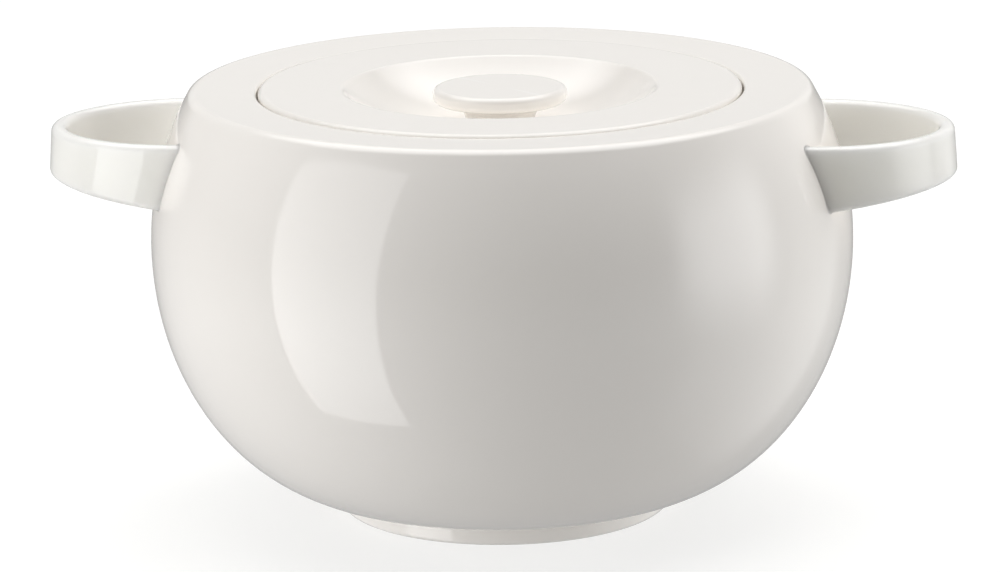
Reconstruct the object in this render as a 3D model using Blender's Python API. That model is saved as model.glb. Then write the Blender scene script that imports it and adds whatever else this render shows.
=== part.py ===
"""A covered porcelain serving bowl: bowl, foot ring, two strap handles, lid and lid knob.

Units are metres and +Z is up. The handles lie along X, and the foot ring stands on z = 0.
"""

import math

import bmesh
import bpy
from mathutils import Vector

# Foot ring
FOOT_HEIGHT = 0.0059
FOOT_RADIUS = 0.052
FOOT_WIDTH = 0.0075
FOOT_TAPER = 0.0008
FOOT_ROUNDING = 0.0015

# Bowl, from its base up
BASE_RADIUS = 0.0483
BELLY_RADIUS = 0.110
BELLY_RISE = 0.0797
SHOULDER_RISE = 0.0488
SHOULDER_INSET = 0.0132
SHOULDER_ROUNDING = 0.0030
RIM_WIDTH = 0.0208
RIM_FALL = 0.0008
WALL = 0.005

# Seat for the lid inside the rim
SEAT_DEPTH = 0.005
SEAT_WIDTH = 0.007
SEAT_EDGE_ROUNDING = 0.0012

# Lid
LID_THICKNESS = 0.0054
LID_EDGE_ROUNDING = 0.0016
LID_FALL = 0.0003
LID_RING_WIDTH = 0.0260
DISH_DEPTH = 0.0137
DISH_EDGE_ROUNDING = 0.0020
DISH_FLOOR_MARGIN = 0.0034

# Knob, with its top just below the top of the lid
KNOB_SINK = 0.0002
KNOB_RADIUS = 0.021
KNOB_DISC_THICKNESS = 0.0045
KNOB_EDGE_ROUNDING = 0.0020
KNOB_UNDERCUT = 0.0018
KNOB_NECK_RADIUS = 0.0120
KNOB_NECK_ROUNDING = 0.0025
KNOB_STEM_RADIUS = 0.0096

# Handles: seen from above, the strap's outer face follows half an ellipse
HANDLE_STAND_OFF = 0.0318
HANDLE_BEND = 0.043
HANDLE_HALF_SPAN = 0.0384
HANDLE_DROP = 0.0120
HANDLE_ROOT_HEIGHT = 0.0219
HANDLE_END_HEIGHT = 0.0155
HANDLE_THICKNESS = 0.0048
HANDLE_EDGE_ROUNDING = 0.0020
HANDLE_END_LEAN = math.radians(4.0)
HANDLE_ROOT_LEAN = math.radians(-10.0)

# Clearances
SLIP_GAP = 0.0003
LID_SIDE_CLEARANCE = 0.0008
LID_REST_GAP = 0.0003

# Smoothness
TURNED_STEPS = 60
KNOB_STEPS = 40
BELLY_STEPS = 10
SHOULDER_STEPS = 5
DISH_STEPS = 7
ROUNDING_STEPS = 3
STRAP_STEPS = 22
SHARP_ANGLE = math.radians(35)

# Finish
GLAZE_COLOUR = (0.87, 0.845, 0.80, 1.0)
GLAZE_ROUGHNESS = 0.12

# Heights and radii that follow from the sizes above
BELLY_HEIGHT = FOOT_HEIGHT + BELLY_RISE
RIM_HEIGHT = BELLY_HEIGHT + SHOULDER_RISE
RIM_INNER_HEIGHT = RIM_HEIGHT - RIM_FALL
RIM_UNDERSIDE = RIM_INNER_HEIGHT - WALL
SHOULDER_RADIUS = BELLY_RADIUS - SHOULDER_INSET
SHOULDER_ARC = (SHOULDER_INSET ** 2 + SHOULDER_RISE ** 2) / (2 * SHOULDER_INSET)
SEAT_HEIGHT = RIM_INNER_HEIGHT - SEAT_DEPTH
SEAT_RADIUS = SHOULDER_RADIUS - RIM_WIDTH
MOUTH_RADIUS = SEAT_RADIUS - SEAT_WIDTH
LID_RADIUS = SEAT_RADIUS - LID_SIDE_CLEARANCE
LID_UNDERSIDE = SEAT_HEIGHT + LID_REST_GAP
LID_EDGE_TOP = LID_UNDERSIDE + LID_THICKNESS
LID_TOP = LID_EDGE_TOP - LID_FALL
DISH_RADIUS = LID_RADIUS - LID_RING_WIDTH
DISH_FLOOR = LID_TOP - DISH_DEPTH
DISH_FLOOR_RADIUS = KNOB_STEM_RADIUS + DISH_FLOOR_MARGIN
KNOB_TOP = LID_TOP - KNOB_SINK
KNOB_BASE = DISH_FLOOR + SLIP_GAP


def clear_scene():
    """Remove every object that the scene starts with."""
    for item in list(bpy.data.objects):
        bpy.data.objects.remove(item, do_unlink=True)


def glaze(name):
    """Glossy white glaze over porcelain."""
    material = bpy.data.materials.new(name)
    material.use_nodes = True
    shader = material.node_tree.nodes["Principled BSDF"]
    shader.inputs["Base Color"].default_value = GLAZE_COLOUR
    shader.inputs["Roughness"].default_value = GLAZE_ROUGHNESS
    shader.inputs["Metallic"].default_value = 0.0
    return material


def add_object(name, shape, height=0.0, parent=None):
    """Turn a bmesh into a smooth-shaded, glazed object with its origin at a height on the bowl's axis."""
    bmesh.ops.recalc_face_normals(shape, faces=shape.faces)
    mesh = bpy.data.meshes.new(name)
    shape.to_mesh(mesh)
    shape.free()
    mesh.shade_smooth()
    mesh.set_sharp_from_angle(angle=SHARP_ANGLE)
    mesh.materials.append(glaze(name + "_glaze"))
    item = bpy.data.objects.new(name, mesh)
    item.parent = parent
    item.location.z = height
    bpy.context.scene.collection.objects.link(item)
    return item


def rounded(corners):
    """Points of an outline whose corners are (across, up, rounding), each rounding drawn as an arc."""
    points = []
    for index, (across, up, rounding) in enumerate(corners):
        corner = Vector((across, up))
        if rounding == 0.0:
            points.append(corner)
            continue
        back = Vector(corners[index - 1][:2]) - corner
        ahead = Vector(corners[(index + 1) % len(corners)][:2]) - corner
        half_angle = back.angle(ahead) / 2
        reach = min(rounding / math.tan(half_angle), back.length / 2, ahead.length / 2)
        back.normalize()
        ahead.normalize()
        centre = corner + (back + ahead).normalized() * (reach / math.cos(half_angle))
        first = corner + back * reach - centre
        last = corner + ahead * reach - centre
        sweep = first.angle(last)
        for step in range(ROUNDING_STEPS + 1):
            share = step / ROUNDING_STEPS
            spoke = first * math.sin((1 - share) * sweep) + last * math.sin(share * sweep)
            points.append(centre + spoke / math.sin(sweep))
    return points


def turned(points, steps, height=0.0, closed=False):
    """Turn an outline of (radius, height) points about the bowl's axis, measured from the given height."""
    shape = bmesh.new()
    corners = [shape.verts.new((point.x, 0.0, point.y - height)) for point in points]
    lines = [shape.edges.new(pair) for pair in zip(corners, corners[1:])]
    if closed:
        lines.append(shape.edges.new((corners[-1], corners[0])))
    bmesh.ops.spin(shape, geom=corners + lines, cent=(0, 0, 0), axis=(0, 0, 1), dvec=(0, 0, 0),
                   angle=math.tau, steps=steps, use_merge=True)
    bmesh.ops.remove_doubles(shape, verts=shape.verts, dist=SLIP_GAP / 100)
    return shape


def belly_curve(offset=0.0):
    """Points up the lower outside of the bowl, a quarter of an ellipse, moved out by an offset."""
    half_width = BELLY_RADIUS - BASE_RADIUS
    points = []
    for step in range(BELLY_STEPS + 1):
        angle = math.pi / 2 * step / BELLY_STEPS
        across = BASE_RADIUS + half_width * math.sin(angle)
        point = Vector((across, BELLY_HEIGHT - BELLY_RISE * math.cos(angle)))
        outward = Vector((math.sin(angle) / half_width, -math.cos(angle) / BELLY_RISE)).normalized()
        points.append(point + outward * offset)
    return points


def shoulder_curve(top, offset=0.0):
    """Points up the upper outside of the bowl, an arc from just above the belly to a height."""
    radius = SHOULDER_ARC + offset
    end_angle = math.asin((top - BELLY_HEIGHT) / radius)
    points = []
    for step in range(1, SHOULDER_STEPS + 1):
        angle = end_angle * step / SHOULDER_STEPS
        across = BELLY_RADIUS - SHOULDER_ARC + radius * math.cos(angle)
        points.append(Vector((across, BELLY_HEIGHT + radius * math.sin(angle))))
    return points


def plain(points):
    """Corners with no rounding."""
    return [(point.x, point.y, 0.0) for point in points]


def make_bowl():
    """The hollow body: belly, flat rim, seat for the lid, mouth and inside."""
    outside = belly_curve() + shoulder_curve(RIM_HEIGHT)
    inside = belly_curve(-WALL) + shoulder_curve(RIM_UNDERSIDE, -WALL)
    corners = [(0.0, FOOT_HEIGHT, 0.0)]
    corners += plain(outside[:-1])
    corners += [
        (SHOULDER_RADIUS, RIM_HEIGHT, SHOULDER_ROUNDING),
        (SEAT_RADIUS, RIM_INNER_HEIGHT, SEAT_EDGE_ROUNDING),
        (SEAT_RADIUS, SEAT_HEIGHT, 0.0),
        (MOUTH_RADIUS, SEAT_HEIGHT, SEAT_EDGE_ROUNDING),
        (MOUTH_RADIUS, SEAT_HEIGHT - WALL, SEAT_EDGE_ROUNDING),
        (SEAT_RADIUS, SEAT_HEIGHT - WALL, 0.0),
        (SEAT_RADIUS + WALL, RIM_UNDERSIDE, 0.0),
    ]
    corners += plain(reversed(inside))
    corners.append((0.0, FOOT_HEIGHT + WALL, 0.0))
    return add_object("bowl", turned(rounded(corners), TURNED_STEPS))


def base_height(radius):
    """Height of the bowl's underside at a radius, along the straight runs of its outline."""
    points = belly_curve()
    if radius <= points[0].x:
        return points[0].y
    for low, high in zip(points, points[1:]):
        if radius <= high.x:
            return low.y + (high.y - low.y) * (radius - low.x) / (high.x - low.x)
    return points[-1].y


def make_foot_ring(bowl):
    """The ring that the bowl stands on, shaped on top to the bowl's underside."""
    top_radius = FOOT_RADIUS + FOOT_TAPER
    inner_radius = FOOT_RADIUS - FOOT_WIDTH
    seat_radii = [point.x for point in belly_curve() if inner_radius < point.x < top_radius]
    corners = [(FOOT_RADIUS, 0.0, FOOT_ROUNDING)]
    corners.append((inner_radius, 0.0, FOOT_ROUNDING))
    for radius in [inner_radius, *seat_radii, top_radius]:
        corners.append((radius, base_height(radius) - SLIP_GAP, 0.0))
    return add_object("foot_ring", turned(rounded(corners), TURNED_STEPS, closed=True), parent=bowl)


def make_bowl_cutter():
    """The bowl's outside as a solid, grown by the slip gap, which trims the handles' roots."""
    outside = belly_curve(SLIP_GAP) + shoulder_curve(RIM_HEIGHT, SLIP_GAP)
    points = [Vector((0.0, outside[0].y)), *outside, Vector((0.0, RIM_HEIGHT))]
    cutter = add_object("bowl_outside_cutter", turned(points, TURNED_STEPS))
    cutter.hide_render = True
    cutter.display_type = "WIRE"
    return cutter


def strap_stations():
    """Places along the strap's middle from above: (place, outward direction, share of root height)."""
    centre = BELLY_RADIUS + HANDLE_STAND_OFF - HANDLE_BEND
    half_bend = HANDLE_BEND - HANDLE_THICKNESS / 2
    half_span = HANDLE_HALF_SPAN - HANDLE_THICKNESS / 2
    root = SHOULDER_RADIUS - HANDLE_HALF_SPAN
    stations = [(Vector((root, -half_span)), Vector((0.0, -1.0)), 1.0)]
    for step in range(STRAP_STEPS + 1):
        angle = math.pi * (step / STRAP_STEPS - 0.5)
        place = Vector((centre + half_bend * math.cos(angle), half_span * math.sin(angle)))
        outward = Vector((half_span * math.cos(angle), half_bend * math.sin(angle))).normalized()
        stations.append((place, outward, 1.0 - math.cos(angle)))
    stations.append((Vector((root, half_span)), Vector((0.0, 1.0)), 1.0))
    return stations


def make_handle(name, side, bowl, cutter):
    """A strap bent to a loop, tallest and twisted at its roots, trimmed to the bowl, at side 1 or -1 of X."""
    top = RIM_HEIGHT - HANDLE_DROP
    half_thickness = HANDLE_THICKNESS / 2
    shape = bmesh.new()
    rings = []
    for place, outward, share in strap_stations():
        height = HANDLE_END_HEIGHT + (HANDLE_ROOT_HEIGHT - HANDLE_END_HEIGHT) * share
        section = rounded([
            (half_thickness, top, HANDLE_EDGE_ROUNDING),
            (half_thickness, top - height, HANDLE_EDGE_ROUNDING),
            (-half_thickness, top - height, HANDLE_EDGE_ROUNDING),
            (-half_thickness, top, HANDLE_EDGE_ROUNDING),
        ])
        ring = []
        for point in section:
            end_lean = (top - height / 2 - point.y) * math.tan(HANDLE_END_LEAN) * (1.0 - share)
            root_lean = (top - point.y) * math.tan(HANDLE_ROOT_LEAN) * share
            spot = place + outward * (point.x + end_lean + root_lean)
            ring.append(shape.verts.new((side * spot.x, spot.y, point.y)))
        rings.append(ring)
    for ring, following in zip(rings, rings[1:]):
        for index in range(len(ring)):
            after = (index + 1) % len(ring)
            shape.faces.new((ring[index], ring[after], following[after], following[index]))
    shape.faces.new(rings[0])
    shape.faces.new(rings[-1])
    handle = add_object(name, shape, parent=bowl)
    trim = handle.modifiers.new("trim_to_bowl", "BOOLEAN")
    trim.operation = "DIFFERENCE"
    trim.solver = "EXACT"
    trim.object = cutter
    return handle


def dish_curve(thickness, top):
    """Points along the dish from its floor's edge up to a height, on the inside or a thickness below it."""
    run = DISH_RADIUS - DISH_FLOOR_RADIUS
    arc = (run ** 2 + DISH_DEPTH ** 2) / (2 * DISH_DEPTH)
    radius = arc + thickness
    end_angle = math.acos((DISH_FLOOR + arc - top) / radius)
    points = []
    for step in range(DISH_STEPS + 1):
        angle = end_angle * step / DISH_STEPS
        across = DISH_FLOOR_RADIUS + radius * math.sin(angle)
        points.append(Vector((across, DISH_FLOOR + arc - radius * math.cos(angle))))
    return points


def make_lid():
    """The plate that drops into the rim's seat, with the finger dish in its middle."""
    corners = [(0.0, DISH_FLOOR, 0.0)]
    corners += plain(dish_curve(0.0, LID_TOP)[:-1])
    corners += [
        (DISH_RADIUS, LID_TOP, DISH_EDGE_ROUNDING),
        (LID_RADIUS, LID_EDGE_TOP, LID_EDGE_ROUNDING),
        (LID_RADIUS, LID_UNDERSIDE, SEAT_EDGE_ROUNDING),
    ]
    corners += plain(reversed(dish_curve(LID_THICKNESS, LID_UNDERSIDE)))
    corners.append((0.0, DISH_FLOOR - LID_THICKNESS, 0.0))
    return add_object("lid", turned(rounded(corners), TURNED_STEPS, LID_UNDERSIDE), LID_UNDERSIDE)


def make_lid_knob(lid):
    """The flat disc on a tapered stem that stands on the dish's floor."""
    disc_bottom = KNOB_TOP - KNOB_DISC_THICKNESS
    corners = [
        (0.0, KNOB_TOP, 0.0),
        (KNOB_RADIUS, KNOB_TOP, KNOB_EDGE_ROUNDING),
        (KNOB_RADIUS, disc_bottom, KNOB_EDGE_ROUNDING),
        (KNOB_NECK_RADIUS, disc_bottom - KNOB_UNDERCUT, KNOB_NECK_ROUNDING),
        (KNOB_STEM_RADIUS, KNOB_BASE, 0.0),
        (0.0, KNOB_BASE, 0.0),
    ]
    shape = turned(rounded(corners), KNOB_STEPS, KNOB_BASE)
    return add_object("lid_knob", shape, KNOB_BASE - LID_UNDERSIDE, lid)


clear_scene()
bowl_object = make_bowl()
make_foot_ring(bowl_object)
outside_cutter = make_bowl_cutter()
make_handle("left_handle", -1, bowl_object, outside_cutter)
make_handle("right_handle", 1, bowl_object, outside_cutter)
lid_object = make_lid()
make_lid_knob(lid_object)
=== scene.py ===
import math

import bmesh
import bpy
from mathutils import Matrix, Vector


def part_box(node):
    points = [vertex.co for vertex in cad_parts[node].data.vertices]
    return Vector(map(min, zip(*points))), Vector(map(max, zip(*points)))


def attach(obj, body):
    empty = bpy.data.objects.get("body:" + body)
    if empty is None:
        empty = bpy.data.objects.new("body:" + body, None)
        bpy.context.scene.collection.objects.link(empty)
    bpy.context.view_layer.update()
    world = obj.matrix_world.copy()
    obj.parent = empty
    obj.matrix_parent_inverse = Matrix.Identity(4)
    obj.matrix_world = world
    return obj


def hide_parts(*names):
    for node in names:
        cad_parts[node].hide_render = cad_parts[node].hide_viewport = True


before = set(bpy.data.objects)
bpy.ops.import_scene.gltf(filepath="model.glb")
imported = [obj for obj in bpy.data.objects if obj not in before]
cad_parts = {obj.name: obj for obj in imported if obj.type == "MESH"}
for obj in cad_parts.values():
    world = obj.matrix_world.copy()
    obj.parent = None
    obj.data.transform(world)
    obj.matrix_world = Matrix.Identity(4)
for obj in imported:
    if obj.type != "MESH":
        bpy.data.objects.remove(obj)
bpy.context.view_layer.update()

# Bowl
# The body is one hollow casting of white porcelain, formed in a plaster mould and glazed inside and out.
# Its flat rim falls a little inward to a sunk ledge, which carries the lid and is left bare of glaze.
MM = 0.001
bowl_low, bowl_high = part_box("bowl")
BELLY_RADIUS = bowl_high.x
BASE_HEIGHT = bowl_low.z
BASE_RADIUS = 48.3 * MM
BELLY_RISE = 79.7 * MM
SHOULDER_RISE = 48.75 * MM
SHOULDER_INSET = 13.2 * MM
SHOULDER_ROUNDING = 3.0 * MM
RIM_WIDTH = 20.8 * MM
RIM_FALL = 0.8 * MM
WALL = 5.0 * MM
LEDGE_DEPTH = 5.0 * MM
LEDGE_WIDTH = 7.0 * MM
LEDGE_ROUNDING = 1.2 * MM
BELLY_HEIGHT = BASE_HEIGHT + BELLY_RISE
RIM_HEIGHT = BELLY_HEIGHT + SHOULDER_RISE
SHOULDER_ARC = (SHOULDER_INSET ** 2 + SHOULDER_RISE ** 2) / (2 * SHOULDER_INSET)
SHOULDER_RADIUS = BELLY_RADIUS - SHOULDER_INSET
RIM_INNER_HEIGHT = RIM_HEIGHT - RIM_FALL
RIM_UNDERSIDE = RIM_INNER_HEIGHT - WALL
LEDGE_HEIGHT = RIM_INNER_HEIGHT - LEDGE_DEPTH
LEDGE_RADIUS = SHOULDER_RADIUS - RIM_WIDTH
MOUTH_RADIUS = LEDGE_RADIUS - LEDGE_WIDTH
BELLY_STEPS = 44
SHOULDER_STEPS = 24
SHOULDER_SHARE = 0.86
ROUNDING_STEPS = 8
TURNED_STEPS = 192
SUPPORT = 0.3 * MM
MERGE = 0.003 * MM
SHARP_ANGLE = math.radians(40)

# Porcelain is white clay fired hard, and its clear glaze melts to a glassy skin. The eye sees a warm
# white under a sharp gloss, faint waves in the reflections, a brighter line where the glaze thins over an
# edge, and a greyer one where it pools in a corner. A bend of 0.5 is flat, and an edge's bend is higher.
GLAZE_WHITE = "#FBF7F2"
GLAZE_SHADE = "#F8F4EE"
GLAZE_THIN = "#FCF9F4"
GLAZE_POOLED = "#EFEAE2"
GLAZE_IOR = 1.52
GLAZE_SMOOTH = 0.045
GLAZE_DULL = 0.085
CLOUD_SIZE = 60.0 * MM
CLOUD_DETAIL = 3.0
WAVE_SIZE = 11.0 * MM
WAVE_DETAIL = 1.0
WAVE_HEIGHT = 0.012 * MM
EDGE_BENDS = 0.505, 0.56
CORNER_BENDS = 0.495, 0.42
COLOURS_ALIKE = 1.0, 1.0, 1.0


def linear(hex_colour):
    """An sRGB hex colour as linear red, green, blue and alpha."""
    shares = [int(hex_colour[place:place + 2], 16) / 255 for place in (1, 3, 5)]
    return [s / 12.92 if s <= 0.04045 else ((s + 0.055) / 1.055) ** 2.4 for s in shares] + [1.0]


def add_node(tree, kind, settings, links=None):
    """Add a node with settings and links, each named by an input's name or number, or by a property."""
    node = tree.nodes.new(kind)
    for key, value in settings.items():
        if isinstance(key, str) and hasattr(node, key):
            setattr(node, key, value)
        else:
            node.inputs[key].default_value = value
    for key, output in (links or {}).items():
        tree.links.new(output, node.inputs[key])
    return node


def map_range(tree, value, start, end, low=0.0, high=1.0):
    """A value mapped from the range between start and end to the one between low and high."""
    settings = {"From Min": start, "From Max": end, "To Min": low, "To Max": high}
    return add_node(tree, "ShaderNodeMapRange", settings, {"Value": value}).outputs["Result"]


def noise(tree, place, size, detail):
    """Soft patches of a size, from 0 to 1."""
    settings = {"Scale": 1 / size, "Detail": detail}
    return add_node(tree, "ShaderNodeTexNoise", settings, {"Vector": place}).outputs["Fac"]


def blend(tree, share, first, second):
    """A share of the second colour over the first, which is a hex colour too or comes from a node."""
    settings = {"data_type": "RGBA", 7: linear(second)}
    links = {"Factor": share}
    if isinstance(first, str):
        settings[6] = linear(first)
    else:
        links[6] = first
    return add_node(tree, "ShaderNodeMix", settings, links).outputs[2]


def new_material(name):
    """An empty node material, with its tree and its output node."""
    material = bpy.data.materials.new(name)
    material.use_nodes = True
    tree = material.node_tree
    tree.nodes.clear()
    return material, tree, tree.nodes.new("ShaderNodeOutputMaterial")


def glazed_porcelain(name, white, shade, glow_share=0.0, glow_depth=0.0):
    """White porcelain under a clear glaze. A share of the light soaks in to a depth and shows through."""
    material, tree, output = new_material(name)
    place = add_node(tree, "ShaderNodeTexCoord", {}).outputs["Object"]
    bend = add_node(tree, "ShaderNodeNewGeometry", {}).outputs["Pointiness"]
    clouds = noise(tree, place, CLOUD_SIZE, CLOUD_DETAIL)
    body = blend(tree, clouds, white, shade)
    thinned = blend(tree, map_range(tree, bend, *EDGE_BENDS), body, GLAZE_THIN)
    pooled = blend(tree, map_range(tree, bend, *CORNER_BENDS), thinned, GLAZE_POOLED)
    gloss = map_range(tree, clouds, 0.0, 1.0, GLAZE_SMOOTH, GLAZE_DULL)
    waves = noise(tree, place, WAVE_SIZE, WAVE_DETAIL)
    skin = add_node(tree, "ShaderNodeBump", {"Distance": WAVE_HEIGHT}, {"Height": waves})
    shader = add_node(tree, "ShaderNodeBsdfPrincipled",
                      {"IOR": GLAZE_IOR, "Subsurface Weight": glow_share, "Subsurface Scale": glow_depth,
                       "Subsurface Radius": COLOURS_ALIKE},
                      {"Base Color": pooled, "Roughness": gloss, "Normal": skin.outputs["Normal"]})
    tree.links.new(shader.outputs["BSDF"], output.inputs["Surface"])
    return material


# Bare porcelain is the fired clay where no glaze was laid: dead matt, a little greyer, with a fine
# tooth. The tooth is drawn at 0.6 mm, coarser than the real clay's, so that it shows.
BARE_PALE = "#E9E3D8"
BARE_GREY = "#D9D2C5"
BARE_ROUGHNESS = 0.62
CLAY_DETAIL = 4.0
TOOTH_SIZE = 0.6 * MM
TOOTH_HEIGHT = 0.02 * MM
TOOTH_STRENGTH = 0.6


def bare_porcelain():
    """Unglazed porcelain, on the faces that the piece is fired on or that touch another piece."""
    material, tree, output = new_material("bare_porcelain")
    place = add_node(tree, "ShaderNodeTexCoord", {}).outputs["Object"]
    clay = blend(tree, noise(tree, place, CLOUD_SIZE, CLAY_DETAIL), BARE_PALE, BARE_GREY)
    tooth = noise(tree, place, TOOTH_SIZE, CLAY_DETAIL)
    grain = add_node(tree, "ShaderNodeBump", {"Strength": TOOTH_STRENGTH, "Distance": TOOTH_HEIGHT},
                     {"Height": tooth})
    shader = add_node(tree, "ShaderNodeBsdfPrincipled", {"Roughness": BARE_ROUGHNESS, "IOR": GLAZE_IOR},
                      {"Base Color": clay, "Normal": grain.outputs["Normal"]})
    tree.links.new(shader.outputs["BSDF"], output.inputs["Surface"])
    return material


GLAZE = glazed_porcelain("glazed_porcelain", GLAZE_WHITE, GLAZE_SHADE)
BARE = bare_porcelain()


def rounded(corners):
    """Points of an outline whose corners are (across, up, rounding). A rounding is drawn as an arc, with
    a point close beyond each end that keeps the faces beside it flat."""
    points = []
    for index, (across, up, rounding) in enumerate(corners):
        corner = Vector((across, up))
        if rounding == 0.0:
            points.append(corner)
            continue
        back = Vector(corners[index - 1][:2]) - corner
        ahead = Vector(corners[(index + 1) % len(corners)][:2]) - corner
        half_angle = back.angle(ahead) / 2
        room = min(back.length, ahead.length) / 2 - SUPPORT
        reach = min(rounding / math.tan(half_angle), room)
        back.normalize()
        ahead.normalize()
        centre = corner + (back + ahead).normalized() * (reach / math.cos(half_angle))
        first = corner + back * reach - centre
        last = corner + ahead * reach - centre
        sweep = first.angle(last)
        points.append(corner + back * (reach + SUPPORT))
        for step in range(ROUNDING_STEPS + 1):
            share = step / ROUNDING_STEPS
            spoke = first * math.sin((1 - share) * sweep) + last * math.sin(share * sweep)
            points.append(centre + spoke / math.sin(sweep))
        points.append(corner + ahead * (reach + SUPPORT))
    return points


def add_piece(name, shape, glaze=GLAZE):
    """Turn a bmesh into a smooth piece, glazed all over, with bare porcelain as its second finish."""
    bmesh.ops.recalc_face_normals(shape, faces=shape.faces)
    mesh = bpy.data.meshes.new(name)
    shape.to_mesh(mesh)
    shape.free()
    mesh.shade_smooth()
    mesh.set_sharp_from_angle(angle=SHARP_ANGLE)
    mesh.materials.append(glaze)
    mesh.materials.append(BARE)
    piece = bpy.data.objects.new(name, mesh)
    bpy.context.scene.collection.objects.link(piece)
    return piece


def turn(name, points, closed=False):
    """Turn an outline of (radius, height) points about the bowl's axis."""
    shape = bmesh.new()
    corners = [shape.verts.new((point.x, 0.0, point.y)) for point in points]
    lines = [shape.edges.new(pair) for pair in zip(corners, corners[1:])]
    if closed:
        lines.append(shape.edges.new((corners[-1], corners[0])))
    bmesh.ops.spin(shape, geom=corners + lines, cent=(0, 0, 0), axis=(0, 0, 1), dvec=(0, 0, 0),
                   angle=math.tau, steps=TURNED_STEPS, use_merge=True)
    bmesh.ops.remove_doubles(shape, verts=shape.verts, dist=MERGE)
    return add_piece(name, shape)


def leave_bare(piece, height, inner, outer):
    """Leave the glaze off a piece's flat faces at a height, between two radii."""
    for face in piece.data.polygons:
        across = math.hypot(face.center.x, face.center.y)
        if abs(face.center.z - height) < SUPPORT / 2 and inner < across < outer:
            face.material_index = 1


def belly_curve(offset=0.0):
    """Points up the lower outside of the bowl, a quarter of an ellipse, moved out by an offset."""
    half_width = BELLY_RADIUS - BASE_RADIUS
    points = []
    for step in range(BELLY_STEPS + 1):
        angle = math.pi / 2 * step / BELLY_STEPS
        across = BASE_RADIUS + half_width * math.sin(angle)
        point = Vector((across, BELLY_HEIGHT - BELLY_RISE * math.cos(angle)))
        outward = Vector((math.sin(angle) / half_width, -math.cos(angle) / BELLY_RISE)).normalized()
        points.append(point + outward * offset)
    return points


def shoulder_curve(top, offset=0.0):
    """Points up the upper outside of the bowl, an arc that stops short of a height's rounding."""
    radius = SHOULDER_ARC + offset
    end_angle = math.asin((top - BELLY_HEIGHT) / radius)
    points = []
    for step in range(1, SHOULDER_STEPS + 1):
        angle = end_angle * SHOULDER_SHARE * step / SHOULDER_STEPS
        across = BELLY_RADIUS - SHOULDER_ARC + radius * math.cos(angle)
        points.append(Vector((across, BELLY_HEIGHT + radius * math.sin(angle))))
    return points


def plain(points):
    """Corners with no rounding."""
    return [(point.x, point.y, 0.0) for point in points]


bowl_corners = [(0.0, BASE_HEIGHT, 0.0)]
bowl_corners += plain(belly_curve() + shoulder_curve(RIM_HEIGHT))
bowl_corners += [
    (SHOULDER_RADIUS, RIM_HEIGHT, SHOULDER_ROUNDING),
    (LEDGE_RADIUS, RIM_INNER_HEIGHT, LEDGE_ROUNDING),
    (LEDGE_RADIUS, LEDGE_HEIGHT, SUPPORT),
    (MOUTH_RADIUS, LEDGE_HEIGHT, LEDGE_ROUNDING),
    (MOUTH_RADIUS, LEDGE_HEIGHT - WALL, LEDGE_ROUNDING),
    (LEDGE_RADIUS + WALL, RIM_UNDERSIDE - WALL / 2, WALL),
]
bowl_corners += plain(reversed(belly_curve(-WALL) + shoulder_curve(RIM_UNDERSIDE, -WALL)))
bowl_corners.append((0.0, BASE_HEIGHT + WALL, 0.0))
bowl = turn("bowl_body_glazed", rounded(bowl_corners))
leave_bare(bowl, LEDGE_HEIGHT, MOUTH_RADIUS + LEDGE_ROUNDING, LEDGE_RADIUS)
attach(bowl, "bowl_body")
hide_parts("bowl")

# Foot ring
# A low ring of the same porcelain, turned while the clay was leather-hard and stuck on with slip. The
# glaze runs into the corner under the bowl, and the flat face that it was fired on is bare.
foot_low, foot_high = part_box("foot_ring")
FOOT_RADIUS = 52.0 * MM
FOOT_TOP_RADIUS = foot_high.x
FOOT_WIDTH = 7.5 * MM
FOOT_ROUNDING = 1.5 * MM
FOOT_FILLET = 1.2 * MM
FOOT_BITE = 0.4 * MM


def base_height(radius):
    """Height of the bowl's underside at a radius."""
    share = max(0.0, (radius - BASE_RADIUS) / (BELLY_RADIUS - BASE_RADIUS))
    return BELLY_HEIGHT - BELLY_RISE * math.sqrt(1 - share ** 2)


foot_inner = FOOT_RADIUS - FOOT_WIDTH
flange_outer = FOOT_TOP_RADIUS + 2 * FOOT_FILLET
flange_inner = foot_inner - 2 * FOOT_FILLET
foot_corners = [
    (FOOT_RADIUS, foot_low.z, FOOT_ROUNDING),
    (FOOT_TOP_RADIUS, base_height(FOOT_TOP_RADIUS), FOOT_FILLET),
    (flange_outer, base_height(flange_outer) + FOOT_BITE / 2, 0.0),
    (flange_outer - FOOT_FILLET, base_height(flange_outer) + 2 * FOOT_BITE, 0.0),
    (flange_inner + FOOT_FILLET, BASE_HEIGHT + 2 * FOOT_BITE, 0.0),
    (flange_inner, BASE_HEIGHT + FOOT_BITE / 2, 0.0),
    (foot_inner, BASE_HEIGHT, FOOT_FILLET),
    (foot_inner, foot_low.z, FOOT_ROUNDING),
]
foot = turn("foot_ring_glazed", rounded(foot_corners), closed=True)
leave_bare(foot, foot_low.z, foot_inner + FOOT_ROUNDING, FOOT_RADIUS - FOOT_ROUNDING)
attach(foot, "bowl_body")
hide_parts("foot_ring")

# Handles
# Each handle is a flat strap of porcelain, cast by itself, bent to a loop and taller where it meets the
# bowl. It leans out at its end and in at its roots. It is stuck on with slip before the glaze, which
# fills a small fillet all round both roots.
right_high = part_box("right_handle")[1]
HANDLE_TOP = right_high.z
HANDLE_STAND_OFF = 31.8 * MM
HANDLE_BEND = 43.0 * MM
HANDLE_HALF_SPAN = 38.4 * MM
HANDLE_ROOT_HEIGHT = 21.9 * MM
HANDLE_END_HEIGHT = 15.5 * MM
HANDLE_THICKNESS = 4.8 * MM
HANDLE_ROUNDING = 2.0 * MM
HANDLE_END_LEAN = math.tan(math.radians(4.0))
HANDLE_ROOT_LEAN = math.tan(math.radians(-10.0))
HANDLE_FILLET = 0.5 * MM
HANDLE_BITE = 0.5 * MM
HANDLE_CENTRE = BELLY_RADIUS + HANDLE_STAND_OFF - HANDLE_BEND
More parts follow.
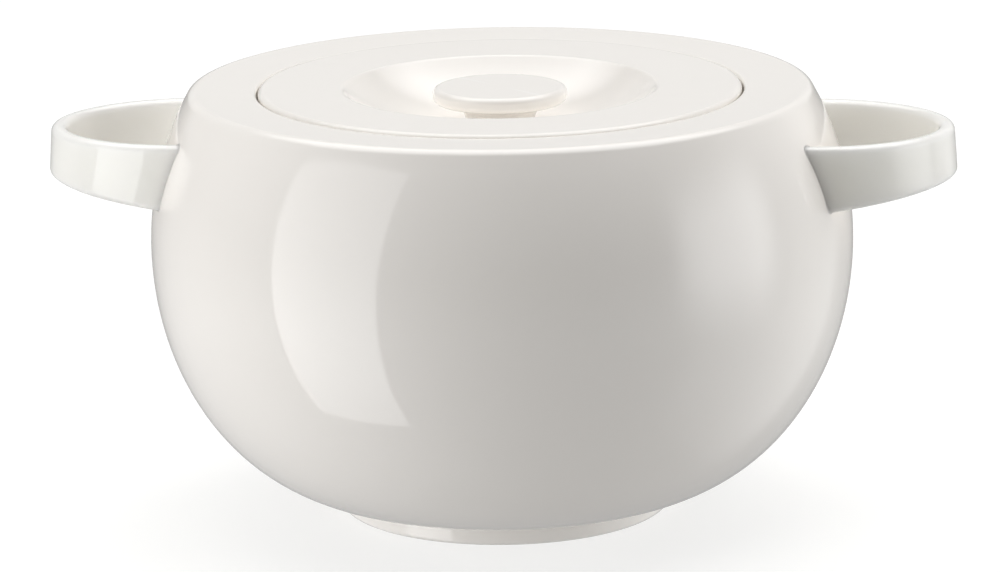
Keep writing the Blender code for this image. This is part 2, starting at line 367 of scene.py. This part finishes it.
STRAP_BEND = HANDLE_BEND - HANDLE_THICKNESS / 2
STRAP_SPAN = HANDLE_HALF_SPAN - HANDLE_THICKNESS / 2
STRAP_PACE = STRAP_BEND * math.pi / 2
STRAP_STEPS = 36
FILLET_STEPS = 6
ROOT_RANGE = -1.4, -0.6
ROOT_HALVINGS = 30

# The same porcelain, thin enough in a strap for light to soak through it, so its shaded face glows.
THIN_WHITE = "#FCF7F2"
THIN_SHADE = "#F9F4ED"
GLOW_SHARE = 0.8
GLOW_DEPTH = 6.0 * MM
THIN_GLAZE = glazed_porcelain("glazed_thin_porcelain", THIN_WHITE, THIN_SHADE, GLOW_SHARE, GLOW_DEPTH)


def bowl_radius(height):
    """Outer radius of the bowl at a height."""
    rise = height - BELLY_HEIGHT
    if rise < 0:
        return BASE_RADIUS + (BELLY_RADIUS - BASE_RADIUS) * math.sqrt(1 - (rise / BELLY_RISE) ** 2)
    return BELLY_RADIUS - SHOULDER_ARC + math.sqrt(SHOULDER_ARC ** 2 - rise ** 2)


def strap_marks():
    """Marks round the strap's section: side, end, the arc's direction and a shift up the flat side."""
    marks = []
    for side, end, start in ((1, 1, 90), (1, -1, 0), (-1, -1, -90), (-1, 1, -180)):
        for step in range(ROUNDING_STEPS + 1):
            angle = math.radians(start - 90 * step / ROUNDING_STEPS)
            marks.append((side, end, math.cos(angle), math.sin(angle), 0.0))
        flat = (side, end, side, 0.0, -end * SUPPORT)
        marks.insert(len(marks) if side == end else len(marks) - ROUNDING_STEPS - 1, flat)
    return marks


def strap_point(along, mark, grow):
    """A point of the strap: along is -1 to 1 round the bend and runs straight on past that, and grow
    swells the section."""
    side, end, across, up, shift = mark
    angle = math.pi / 2 * max(-1.0, min(1.0, along))
    straight = STRAP_PACE * max(0.0, abs(along) - 1.0)
    reach = HANDLE_CENTRE + STRAP_BEND * math.cos(angle) - straight
    place = Vector((reach, STRAP_SPAN * math.sin(angle)))
    outward = Vector((STRAP_SPAN * math.cos(angle), STRAP_BEND * math.sin(angle))).normalized()
    height = HANDLE_ROOT_HEIGHT - (HANDLE_ROOT_HEIGHT - HANDLE_END_HEIGHT) * math.cos(angle)
    level = HANDLE_TOP - height / 2 + end * (height / 2 - HANDLE_ROUNDING)
    level += (HANDLE_ROUNDING + grow) * up + shift
    offset = side * (HANDLE_THICKNESS / 2 - HANDLE_ROUNDING) + (HANDLE_ROUNDING + grow) * across
    offset += (HANDLE_TOP - height / 2 - level) * HANDLE_END_LEAN * math.cos(angle)
    offset += (HANDLE_TOP - level) * HANDLE_ROOT_LEAN * (1 - math.cos(angle))
    spot = place + outward * offset
    return Vector((spot.x, spot.y, level))


def root_of(mark, grow, depth):
    """How far along the strap a mark meets the bowl's outside, or a depth below it, by halving."""
    inside, outside = ROOT_RANGE
    for step in range(ROOT_HALVINGS):
        middle = (inside + outside) / 2
        point = strap_point(middle, mark, grow)
        if math.hypot(point.x, point.y) < bowl_radius(point.z) - depth:
            inside = middle
        else:
            outside = middle
    return outside


def half_strap(mark):
    """Points along one mark, from inside the bowl's wall through the root's fillet to mid-bend."""
    points = [strap_point(root_of(mark, HANDLE_FILLET, HANDLE_BITE), mark, HANDLE_FILLET)]
    for step in range(FILLET_STEPS + 1):
        angle = math.pi / 2 * step / FILLET_STEPS
        grow = HANDLE_FILLET * (1 - math.sin(angle))
        stand = HANDLE_FILLET * (1 - math.cos(angle))
        start = root_of(mark, grow, 0.0) + stand / STRAP_PACE
        points.append(strap_point(start, mark, grow))
    for step in range(1, STRAP_STEPS + 1):
        points.append(strap_point(start * (1 - step / STRAP_STEPS), mark, 0.0))
    return points


for name, side in (("left_handle", -1), ("right_handle", 1)):
    shape = bmesh.new()
    strands = []
    for mark in strap_marks():
        half = half_strap(mark)
        whole = half + [Vector((point.x, -point.y, point.z)) for point in reversed(half[:-1])]
        strands.append([shape.verts.new((side * point.x, point.y, point.z)) for point in whole])
    for strand, following in zip(strands, strands[1:] + strands[:1]):
        for place in range(len(strand) - 1):
            shape.faces.new((strand[place], strand[place + 1], following[place + 1], following[place]))
    shape.faces.new([strand[0] for strand in strands])
    shape.faces.new([strand[-1] for strand in strands])
    handle = add_piece(name + "_glazed", shape, THIN_GLAZE)
    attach(handle, "bowl_body")
    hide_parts(name)

# Lid
# A porcelain plate that drops into the ledge, so its edge lies level with the rim. Its ring falls a
# little to a round finger dish in the middle, and is bare where it rests on the ledge, because the lid
# is fired in place.
lid_low, lid_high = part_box("lid")
LID_GLAZE = 0.25 * MM
LID_RADIUS = lid_high.x + LID_GLAZE
LID_EDGE_TOP = lid_high.z
LID_THICKNESS = 5.4 * MM
LID_ROUNDING = 1.6 * MM
LID_FALL = 0.3 * MM
LID_RING_WIDTH = 26.0 * MM
DISH_ROUNDING = 2.0 * MM
DISH_FLOOR_RADIUS = 13.0 * MM
DISH_STEPS = 36
DISH_SHARE = 0.92
LID_TOP = LID_EDGE_TOP - LID_FALL
LID_UNDERSIDE = LID_EDGE_TOP - LID_THICKNESS
DISH_RADIUS = lid_high.x - LID_RING_WIDTH
DISH_FLOOR = lid_low.z + LID_THICKNESS
DISH_DEPTH = LID_TOP - DISH_FLOOR


def dish_curve(thickness, top, share):
    """Points along the dish, or a thickness below it, from its floor a share of the way to a height."""
    run = DISH_RADIUS - DISH_FLOOR_RADIUS
    arc = (run ** 2 + DISH_DEPTH ** 2) / (2 * DISH_DEPTH)
    radius = arc + thickness
    end_angle = math.acos((DISH_FLOOR + arc - top) / radius) * share
    points = []
    for step in range(DISH_STEPS + 1):
        angle = end_angle * step / DISH_STEPS
        across = DISH_FLOOR_RADIUS + radius * math.sin(angle)
        points.append(Vector((across, DISH_FLOOR + arc - radius * math.cos(angle))))
    return points


lid_corners = [(0.0, DISH_FLOOR, 0.0)]
lid_corners += plain(dish_curve(0.0, LID_TOP, DISH_SHARE))
lid_corners += [
    (DISH_RADIUS, LID_TOP, DISH_ROUNDING),
    (LID_RADIUS, LID_EDGE_TOP, LID_ROUNDING),
    (LID_RADIUS, LID_UNDERSIDE, LEDGE_ROUNDING),
]
lid_corners += plain(reversed(dish_curve(LID_THICKNESS, LID_UNDERSIDE, 1.0)))
lid_corners.append((0.0, DISH_FLOOR - LID_THICKNESS, 0.0))
lid = turn("lid_glazed", rounded(lid_corners))
leave_bare(lid, LID_UNDERSIDE, MOUTH_RADIUS, LID_RADIUS)
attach(lid, "lid_body")
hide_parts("lid")

# Lid knob
# A flat disc on a short tapered stem, turned from the same clay and stuck to the floor of the dish, so
# that it stands level with the lid and fingers reach under it. Glaze fills the corner round its stem.
knob_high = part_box("lid_knob")[1]
KNOB_RADIUS = knob_high.x
KNOB_TOP = knob_high.z
KNOB_DISC = 4.5 * MM
KNOB_ROUNDING = 2.0 * MM
KNOB_UNDERCUT = 1.8 * MM
KNOB_NECK_RADIUS = 12.0 * MM
KNOB_NECK_ROUNDING = 2.5 * MM
KNOB_STEM_RADIUS = 9.6 * MM
KNOB_FILLET = 1.6 * MM
KNOB_BITE = 0.4 * MM
disc_bottom = KNOB_TOP - KNOB_DISC
knob_corners = [
    (0.0, KNOB_TOP, 0.0),
    (KNOB_RADIUS, KNOB_TOP, KNOB_ROUNDING),
    (KNOB_RADIUS, disc_bottom, KNOB_ROUNDING),
    (KNOB_NECK_RADIUS, disc_bottom - KNOB_UNDERCUT, KNOB_NECK_ROUNDING),
    (KNOB_STEM_RADIUS, DISH_FLOOR, KNOB_FILLET),
    (KNOB_STEM_RADIUS + 2 * KNOB_FILLET, DISH_FLOOR - KNOB_BITE / 4, 0.0),
    (KNOB_STEM_RADIUS, DISH_FLOOR - KNOB_BITE, 0.0),
    (0.0, DISH_FLOOR - KNOB_BITE, 0.0),
]
knob = turn("lid_knob_glazed", rounded(knob_corners))
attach(knob, "lid_body")
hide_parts("lid_knob")

# Floor
# A broad table of matt white acrylic, lit from below. The camera sees it white, with the bowl's soft
# shadow on it. Its light on the bowl comes from the surroundings' lower half, so other rays pass it by.
FLOOR_SIZE = 24.0
FLOOR_WHITE = "#A3A3A1"
FLOOR_GLOW = 0.68
FLOOR_DROP = 0.1 * MM
shape = bmesh.new()
bmesh.ops.create_grid(shape, x_segments=1, y_segments=1, size=FLOOR_SIZE / 2)
floor_mesh = bpy.data.meshes.new("floor")
shape.to_mesh(floor_mesh)
shape.free()
acrylic, tree, output = new_material("matt_white_acrylic")
matt = add_node(tree, "ShaderNodeBsdfDiffuse", {"Color": linear(FLOOR_WHITE)})
lit = add_node(tree, "ShaderNodeEmission", {"Strength": FLOOR_GLOW})
both = add_node(tree, "ShaderNodeAddShader", {}, {0: matt.outputs["BSDF"], 1: lit.outputs["Emission"]})
tree.links.new(both.outputs["Shader"], output.inputs["Surface"])
floor_mesh.materials.append(acrylic)
floor = bpy.data.objects.new("floor", floor_mesh)
floor.location.z = -FLOOR_DROP
floor.visible_diffuse = False
floor.visible_glossy = False
floor.visible_shadow = False
bpy.context.scene.collection.objects.link(floor)

# Surroundings
# A studio that is white to the camera. Its lower half is the lit table's light on the bowl's underside.
# Reflections see that table brighter at the sides, a pale wall behind it, a broad lamp overhead and a dim
# room elsewhere. A fade gives the parts of a direction between which a light grows from nothing to full.
ROOM_WHITE = 1.0
TABLE_LIGHT = 0.345
TABLE_ENDS = 0.55
TABLE_SIDES = 1.6
TABLE_NEAR = 0.35
ROOM_SHARE = 0.2
HORIZON = 0.04
WALL_WHITE = 0.70
WALL_FADE = 0.3, 0.9
WALL_FOOT_FADE = 0.0, 2 * HORIZON
LAMP_LIGHT = 4.6
LAMP_FADE = 0.58, 0.82
LAMP_FRONT_FADE = -0.6, -0.2


def combine(tree, operation, first, second):
    """Two nodes' outputs put together by a calculation."""
    links = {0: first, 1: second}
    return add_node(tree, "ShaderNodeMath", {"operation": operation}, links).outputs["Value"]


world = bpy.data.worlds.new("studio")
bpy.context.scene.world = world
world.use_nodes = True
tree = world.node_tree
tree.nodes.clear()
ray = add_node(tree, "ShaderNodeLightPath", {}).outputs
way = add_node(tree, "ShaderNodeTexCoord", {}).outputs["Generated"]
aside, behind, above = add_node(tree, "ShaderNodeSeparateXYZ", {}, {"Vector": way}).outputs
fill = map_range(tree, above, -HORIZON, HORIZON, TABLE_LIGHT, 0.0)
near = map_range(tree, above, -TABLE_NEAR, HORIZON, 1.0, ROOM_SHARE)
sides = map_range(tree, combine(tree, "MULTIPLY", aside, aside), 0.0, 1.0, TABLE_ENDS, TABLE_SIDES)
table = combine(tree, "MULTIPLY", near, sides)
wall = combine(tree, "MULTIPLY", map_range(tree, behind, *WALL_FADE, 0.0, WALL_WHITE),
               map_range(tree, above, *WALL_FOOT_FADE))
top_lamp = combine(tree, "MULTIPLY", map_range(tree, above, *LAMP_FADE, 0.0, LAMP_LIGHT),
                   map_range(tree, behind, *LAMP_FRONT_FADE))
gleam = combine(tree, "MAXIMUM", table, combine(tree, "MAXIMUM", wall, top_lamp))
shiny = combine(tree, "MAXIMUM", ray["Is Glossy Ray"], ray["Is Transmission Ray"])
cast = add_node(tree, "ShaderNodeMix", {"data_type": "FLOAT"}, {"Factor": shiny, 2: fill, 3: gleam})
level = add_node(tree, "ShaderNodeMix", {"data_type": "FLOAT", 3: ROOM_WHITE},
                 {"Factor": ray["Is Camera Ray"], 2: cast.outputs[0]})
sky = add_node(tree, "ShaderNodeBackground", {}, {"Strength": level.outputs[0]})
output = tree.nodes.new("ShaderNodeOutputWorld")
tree.links.new(sky.outputs["Background"], output.inputs["Surface"])

# Lights
# Broad soft skies overhead, behind and at the sides, which show in no reflection, and tall lit cloths: a
# sharp-edged softbox on the left, whose shape shows in the bowl, and a faded one and a pale board on the
# right. Each sky is given as its azimuth, tilt from overhead and spread in degrees, and its strength.
SKIES = {
    "overhead_sky": ((0, 0, 45), 0.80),
    "back_sky": ((180, 40, 85), 1.95),
    "left_sky": ((-85, 50, 80), 0.54),
    "right_sky": ((112, 50, 80), 0.72),
}


def bearing(azimuth):
    """The direction on the ground at an azimuth: 0 is towards the camera, and positive to its right."""
    return Vector((math.sin(azimuth), -math.cos(azimuth), 0.0))


for name, (angles, strength) in SKIES.items():
    azimuth, tilt, spread = (math.radians(angle) for angle in angles)
    lamp = bpy.data.lights.new(name, "SUN")
    lamp.energy = strength
    lamp.angle = spread
    sky_light = bpy.data.objects.new(name, lamp)
    source = bearing(azimuth) * math.sin(tilt) + Vector((0, 0, math.cos(tilt)))
    sky_light.rotation_mode = "QUATERNION"
    sky_light.rotation_quaternion = source.to_track_quat("Z", "Y")
    sky_light.visible_glossy = False
    bpy.context.scene.collection.objects.link(sky_light)

LEFT_EDGES = (math.radians(-71.2), 1.31), (math.radians(-32.8), 1.0)
LEFT_HEIGHTS = -1.12, 0.835
LEFT_STRENGTH = 2.58
LEFT_ACROSS = (0.0, 1.0), (1.0, 1.0)
LEFT_UP = (0.0, 0.68), (0.4, 1.0), (0.5, 1.0), (1.0, 0.55)
LEFT_BOW = 0.033, 0.023, -0.073
RIGHT_EDGES = (math.radians(54), 1.1), (math.radians(104), 1.1)
RIGHT_HEIGHTS = -0.38, 0.68
RIGHT_STRENGTH = 2.5
RIGHT_ACROSS = (0.0, 0.0), (0.3, 1.0), (0.7, 1.0), (1.0, 0.0)
RIGHT_UP = (0.0, 0.0), (0.45, 1.0), (0.55, 1.0), (1.0, 0.0)
BOARD_EDGES = (math.radians(62), 1.15), (math.radians(145), 1.15)
BOARD_HEIGHTS = -1.1, 0.8
BOARD_STRENGTH = 0.46
BOARD_ACROSS = (0.0, 0.0), (0.2, 1.0), (0.8, 1.0), (1.0, 0.0)
BOARD_UP = (0.0, 0.4), (0.3, 1.0), (0.6, 1.0), (1.0, 0.0)
STRAIGHT = 0.0, 0.0, 0.0
BOW_STEPS = 16


def softbox(name, left, right, low, high, strength, across_stops, up_stops, bow):
    """A tall lit cloth between two edges, each given as (azimuth, distance). The stops give its light as
    (place, share) from the right edge and from the foot. The bow moves the right edge's foot, middle and
    head to the left."""
    cloth, tree, output = new_material(name + "_cloth")
    place = add_node(tree, "ShaderNodeTexCoord", {}).outputs["Generated"]
    split = add_node(tree, "ShaderNodeSeparateXYZ", {}, {"Vector": place})
    back = add_node(tree, "ShaderNodeNewGeometry", {}).outputs["Backfacing"]
    light = map_range(tree, back, 0.0, 1.0, strength, 0.0)
    for axis, stops in (("X", across_stops), ("Y", up_stops)):
        ramp = add_node(tree, "ShaderNodeValToRGB", {}, {"Fac": split.outputs[axis]})
        ramp.color_ramp.interpolation = "EASE"
        for step, (spot, share) in enumerate(stops):
            stop = ramp.color_ramp.elements[step] if step < 2 else ramp.color_ramp.elements.new(spot)
            stop.position = spot
            stop.color = (share, share, share, 1.0)
        light = combine(tree, "MULTIPLY", light, ramp.outputs["Color"])
    lit = add_node(tree, "ShaderNodeEmission", {}, {"Strength": light})
    clear = add_node(tree, "ShaderNodeBsdfTransparent", {})
    both = add_node(tree, "ShaderNodeAddShader", {},
                    {0: lit.outputs["Emission"], 1: clear.outputs["BSDF"]})
    tree.links.new(both.outputs["Shader"], output.inputs["Surface"])
    ends = [bearing(azimuth) * distance for azimuth, distance in (right, left)]
    width = (ends[1] - ends[0]).length
    shape = bmesh.new()
    foot, middle, head = bow
    corners = [(width, low), (width, high)]
    for step in range(BOW_STEPS + 1):
        share = 1 - step / BOW_STEPS
        inset = foot * (1 - share) * (1 - 2 * share) + head * share * (2 * share - 1)
        inset += 4 * middle * share * (1 - share)
        corners.append((inset, low + (high - low) * share))
    shape.faces.new([shape.verts.new((across, up, 0.0)) for across, up in corners])
    mesh = bpy.data.meshes.new(name)
    shape.to_mesh(mesh)
    shape.free()
    mesh.materials.append(cloth)
    box = bpy.data.objects.new(name, mesh)
    across = (ends[1] - ends[0]).normalized()
    facing = across.cross(Vector((0, 0, 1)))
    turned_to = Matrix((across, (0, 0, 1), facing)).transposed().to_4x4()
    box.matrix_world = Matrix.Translation(ends[0]) @ turned_to
    box.visible_camera = False
    box.visible_shadow = False
    bpy.context.scene.collection.objects.link(box)


softbox("left_softbox", *LEFT_EDGES, *LEFT_HEIGHTS, LEFT_STRENGTH, LEFT_ACROSS, LEFT_UP, LEFT_BOW)
softbox("right_softbox", *RIGHT_EDGES, *RIGHT_HEIGHTS, RIGHT_STRENGTH, RIGHT_ACROSS, RIGHT_UP, STRAIGHT)
softbox("right_board", *BOARD_EDGES, *BOARD_HEIGHTS, BOARD_STRENGTH, BOARD_ACROSS, BOARD_UP, STRAIGHT)

# Camera
# It stands where the photograph was taken from: a little right of the bowl's middle, looking down on it.
CAMERA_DISTANCE = 1.5
CAMERA_HEIGHT = 0.43947
CAMERA_AZIMUTH = math.radians(4.80)
CAMERA_PITCH = math.radians(13.850)
CAMERA_YAW = math.radians(0.035)
CAMERA_ROLL = math.radians(-0.89)
SENSOR_WIDTH = 36.0
FOCAL_PIXELS = 4906.4
IMAGE_WIDTH = 1000
lens = bpy.data.cameras.new("camera")
lens.sensor_fit = "HORIZONTAL"
lens.sensor_width = SENSOR_WIDTH
lens.lens = FOCAL_PIXELS * SENSOR_WIDTH / IMAGE_WIDTH
camera = bpy.data.objects.new("camera", lens)
spot = bearing(CAMERA_AZIMUTH) * CAMERA_DISTANCE
spot.z = CAMERA_HEIGHT
turning = Matrix.Rotation(CAMERA_AZIMUTH + CAMERA_YAW, 4, "Z")
tilting = Matrix.Rotation(math.pi / 2 - CAMERA_PITCH, 4, "X")
rolling = Matrix.Rotation(CAMERA_ROLL, 4, "Z")
camera.matrix_world = Matrix.Translation(spot) @ turning @ tilting @ rolling
bpy.context.scene.collection.objects.link(camera)
bpy.context.scene.camera = camera
bpy.context.scene.view_settings.view_transform = "Standard"
